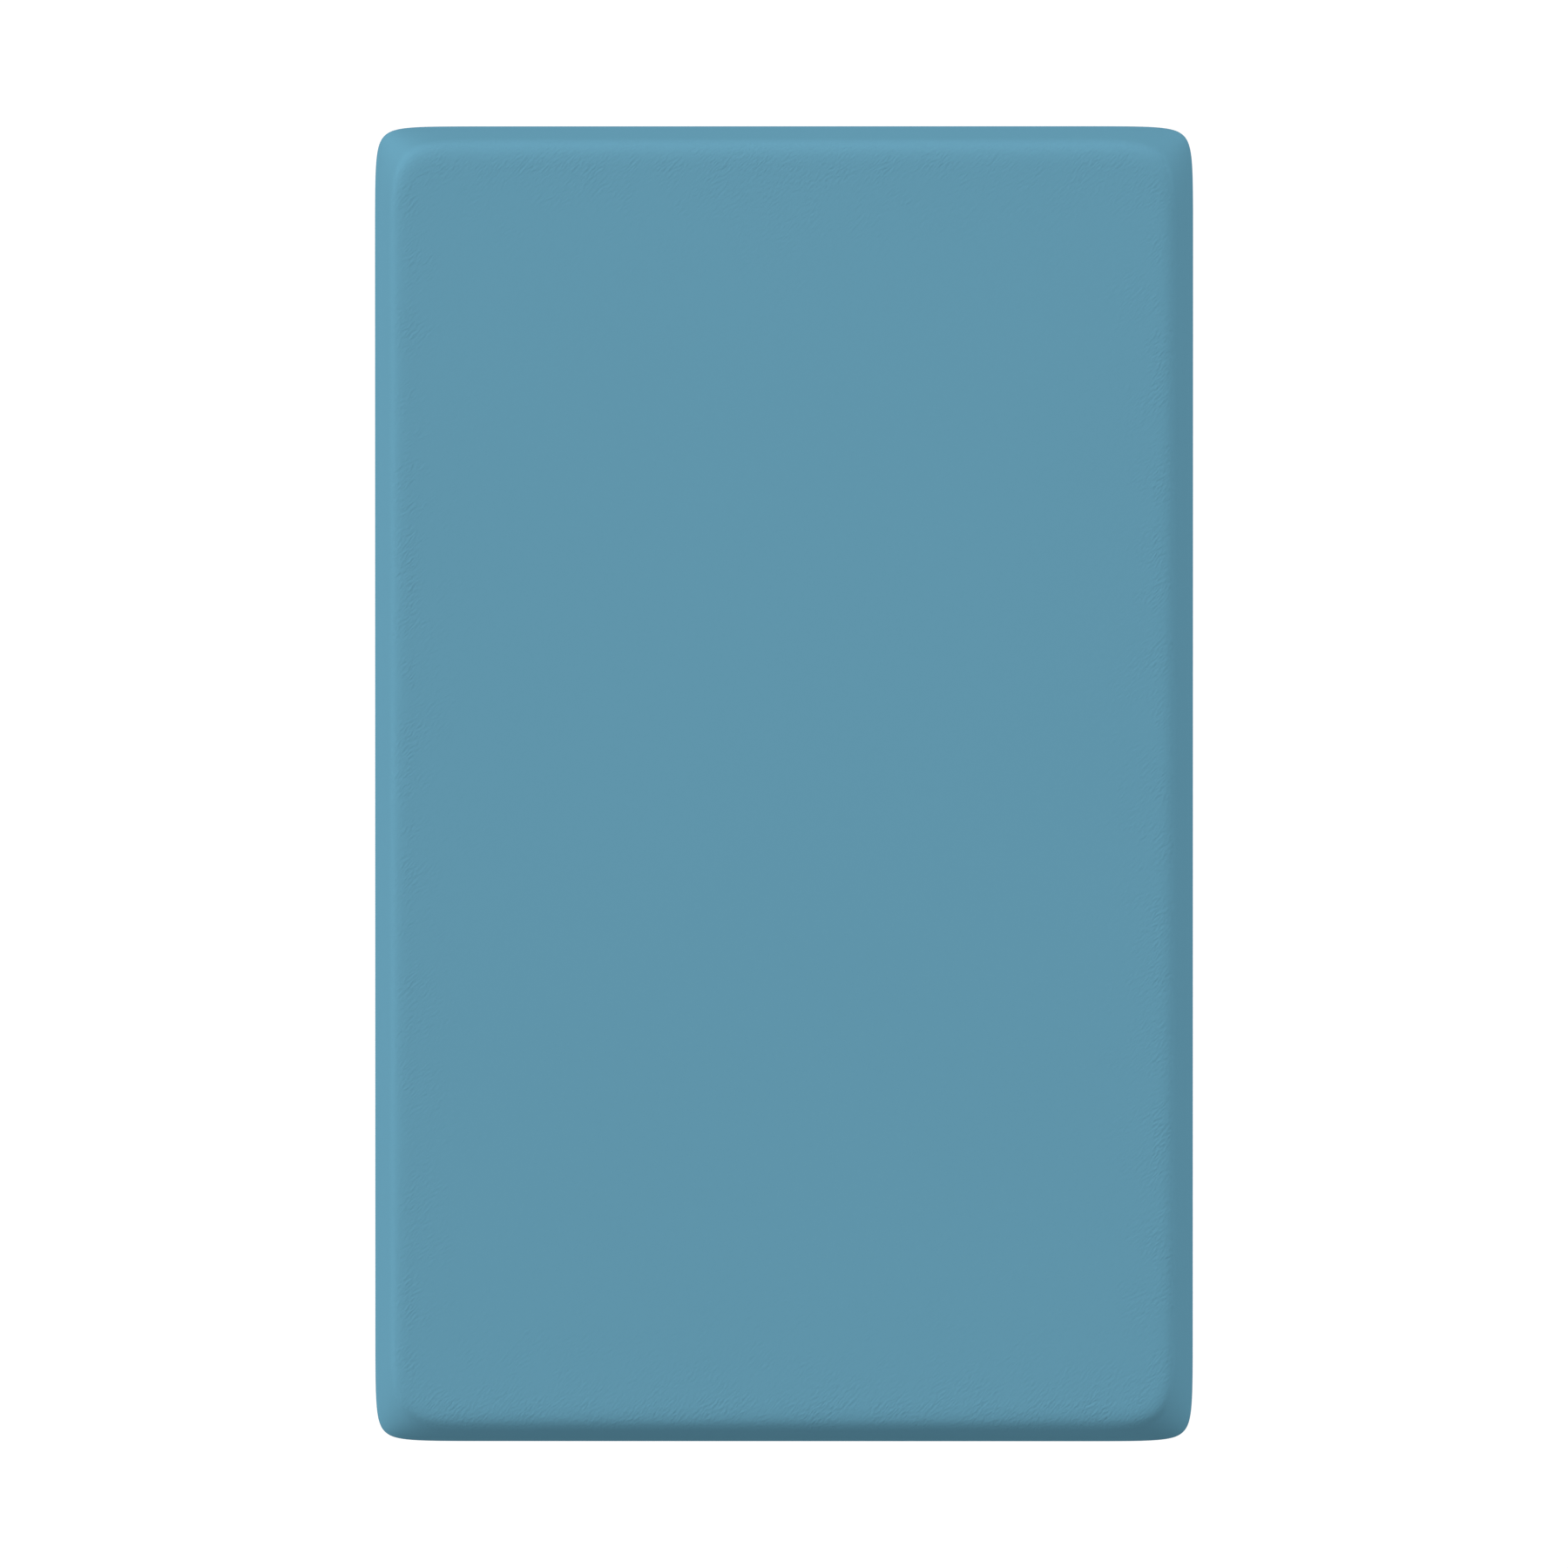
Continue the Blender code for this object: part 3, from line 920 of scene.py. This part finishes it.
class ERASER_OT_threads(Operator):
    """Make the binding threads: three plies twisted together, with a knot at each end"""

    bl_idname = "eraser.threads"
    bl_label = "Binding threads"

    def execute(self, context):
        pad = context.scene.eraser_pad
        cotton = thread_material(pad)
        for node in THREAD_NODES:
            middle, half = box_of(node)
            knot_middle = half[0] - KNOT_INSET
            x = np.linspace(-knot_middle, knot_middle, 420)
            phase = np.arange(3)[:, None] * 2.0 * math.pi / 3.0
            turn = 2.0 * math.pi * x / PLY_LAY + phase
            off = 0.53 * THREAD_RADIUS
            plies = np.stack([
                np.broadcast_to(x, turn.shape), off * np.cos(turn), off * np.sin(turn),
            ], axis=-1)
            around = np.linspace(0.0, 2.0 * math.pi, 28, endpoint=False)
            knots = np.array([
                np.stack([
                    side * knot_middle + 0.0 * around,
                    (KNOT_RADIUS - KNOT_INSET) * np.cos(around),
                    (KNOT_RADIUS - KNOT_INSET) * np.sin(around),
                ], axis=-1)
                for side in (-1.0, 1.0)
            ])
            skins = [
                swept_skin(plies + middle, 0.47 * THREAD_RADIUS, 7),
                swept_skin(knots + middle, KNOT_CORD, 9, closed=True),
            ]
            piece = make_piece(f"{node}_twisted", skins, "waxed_cotton", cotton)
            finish_piece(piece, node)
        return {"FINISHED"}


# ---------------------------------------------------------------- the studio

FLOOR_REACH = 3.2
SWEEP = 0.8  # radius of the bend between the floor and the backdrop
BACKDROP_TOP = 3.0
SHADE_REACH = 7.0 * MM  # how far round the felt the floor's glow is dimmed as a painted contact shadow
CAMERA_SHIFT = (4.5 * MM, 7.7 * MM)


def add_sheet(name, profile, material):
    """A surface of revolution about Z: each (radius, height) of the profile makes a ring."""
    angle = np.linspace(0.0, 2.0 * math.pi, 96, endpoint=False)
    profile = np.array(profile)
    rings = np.stack([
        profile[:, :1] * np.cos(angle), profile[:, :1] * np.sin(angle),
        np.broadcast_to(profile[:, 1:], (len(profile), len(angle))),
    ], axis=-1)
    here = np.arange(len(angle))
    after = (here + 1) % len(angle)
    row = (np.arange(len(profile) - 1) * len(angle))[:, None]
    next_row = row + len(angle)
    faces = np.stack([row + here, next_row + here, next_row + after, row + after], -1)
    mesh = bpy.data.meshes.new(name)
    mesh.from_pydata(rings.reshape(-1, 3).tolist(), [], faces.reshape(-1, 4).tolist())
    mesh.materials.append(material)
    sheet = bpy.data.objects.new(name, mesh)
    bpy.context.scene.collection.objects.link(sheet)
    return sheet


def add_light(name, turn, rise, size, level, distance=2.4):
    """A soft light aimed at the origin, `size` wide and high. `level` is what it adds to a white
    card that faces it: the light's watts are that times the square of pi times its distance."""
    flat = math.cos(rise)
    place = Vector((flat * math.cos(turn), flat * math.sin(turn), math.sin(rise)))
    data = bpy.data.lights.new(name, "AREA")
    data.shape = "RECTANGLE"
    data.size, data.size_y = size
    data.energy = level * (math.pi * distance) ** 2
    light = bpy.data.objects.new(name, data)
    light.location = place * distance
    light.rotation_euler = (-place).to_track_quat("-Z", "Y").to_euler()
    light.visible_camera = False
    bpy.context.scene.collection.objects.link(light)


class ERASER_OT_studio(Operator):
    """Make the pale floor, the soft lights and the camera that looks straight down"""

    bl_idname = "eraser.studio"
    bl_label = "Studio"

    def execute(self, context):
        studio = context.scene.eraser_studio
        scene = context.scene
        scene.view_settings.view_transform = "Standard"

        world = bpy.data.worlds.new("studio_room")
        world.use_nodes = True
        sky = world.node_tree.nodes["Background"]
        sky.inputs["Color"].default_value = (1.0, 1.0, 1.0, 1.0)
        sky.inputs["Strength"].default_value = studio.sky
        scene.world = world

        floor = add_sheet("studio_floor", [(0.0, 0.0), (FLOOR_REACH, 0.0)], floor_material(studio))
        bend = np.linspace(0.0, math.pi / 2.0, 13)
        profile = FLOOR_REACH + SWEEP * np.sin(bend), SWEEP * (1.0 - np.cos(bend))
        profile = [*zip(*profile), (FLOOR_REACH + SWEEP, BACKDROP_TOP)]
        backdrop = add_sheet("studio_backdrop", profile, backdrop_material(studio))
        backdrop.visible_diffuse = backdrop.visible_glossy = backdrop.visible_shadow = False

        for name, turn, rise, size, level in (
            ("light_left", 180.0, 34.0, (2.0, 1.0), studio.light_left),
            ("light_left_low", 180.0, 12.0, (2.0, 0.6), studio.light_left_low),
            ("light_back", 90.0, 34.0, (3.0, 1.0), studio.light_back),
            ("light_right", 0.0, 24.0, (1.0, 1.0), studio.light_right),
            ("light_right_low", 0.0, 12.0, (1.0, 0.6), studio.light_right_low),
            ("light_top", 0.0, 89.9, (1.5, 1.5), studio.light_top),
        ):
            add_light(name, math.radians(turn), math.radians(rise), size, level)

        rim = Vector((0.0, 0.0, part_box("back_shell")[0][2]))
        place = rim + Vector((*CAMERA_SHIFT, studio.camera_height))
        data = bpy.data.cameras.new("camera")
        data.lens = data.sensor_width * studio.camera_height / studio.view_width
        data.clip_start = 0.05
        camera = bpy.data.objects.new("camera", data)
        camera.location = place
        aim = rim - place
        camera.rotation_euler = (math.atan2(aim.y, -aim.z), math.atan2(-aim.x, -aim.z), 0.0)
        scene.collection.objects.link(camera)
        scene.camera = camera
        return {"FINISHED"}


# ---------------------------------------------------------------- the add-on


class ERASER_PT_parts(Panel):
    """The eraser's pieces and their settings"""

    bl_idname = "ERASER_PT_parts"
    bl_label = "Chalkboard eraser"
    bl_space_type = "VIEW_3D"
    bl_region_type = "UI"
    bl_category = "Eraser"

    def draw(self, context):
        for group, operators in GROUPS:
            settings = getattr(context.scene, group)
            box = self.layout.box()
            for operator in operators:
                box.operator(operator.bl_idname)
            for key in settings.__annotations__:
                box.prop(settings, key)


GROUPS = (
    ("eraser_back", (ERASER_OT_back,)),
    ("eraser_pad", (ERASER_OT_foam, ERASER_OT_board, ERASER_OT_felt, ERASER_OT_threads)),
    ("eraser_studio", (ERASER_OT_studio,)),
)
SETTINGS = {
    "eraser_back": BackSettings,
    "eraser_pad": PadSettings,
    "eraser_studio": StudioSettings,
}
OPERATORS = tuple(operator for _, group in GROUPS for operator in group)


def register():
    for made in (*SETTINGS.values(), *OPERATORS, ERASER_PT_parts):
        bpy.utils.register_class(made)
    for key, group in SETTINGS.items():
        setattr(bpy.types.Scene, key, PointerProperty(type=group))


def unregister():
    for key in SETTINGS:
        delattr(bpy.types.Scene, key)
    for made in (ERASER_PT_parts, *reversed(OPERATORS), *SETTINGS.values()):
        bpy.utils.unregister_class(made)


def main():
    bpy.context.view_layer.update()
    register()
    bpy.ops.eraser.back()
    bpy.ops.eraser.foam()
    bpy.ops.eraser.board()
    bpy.ops.eraser.felt()
    bpy.ops.eraser.threads()
    bpy.ops.eraser.studio()


if __name__ == "__main__":
    main()
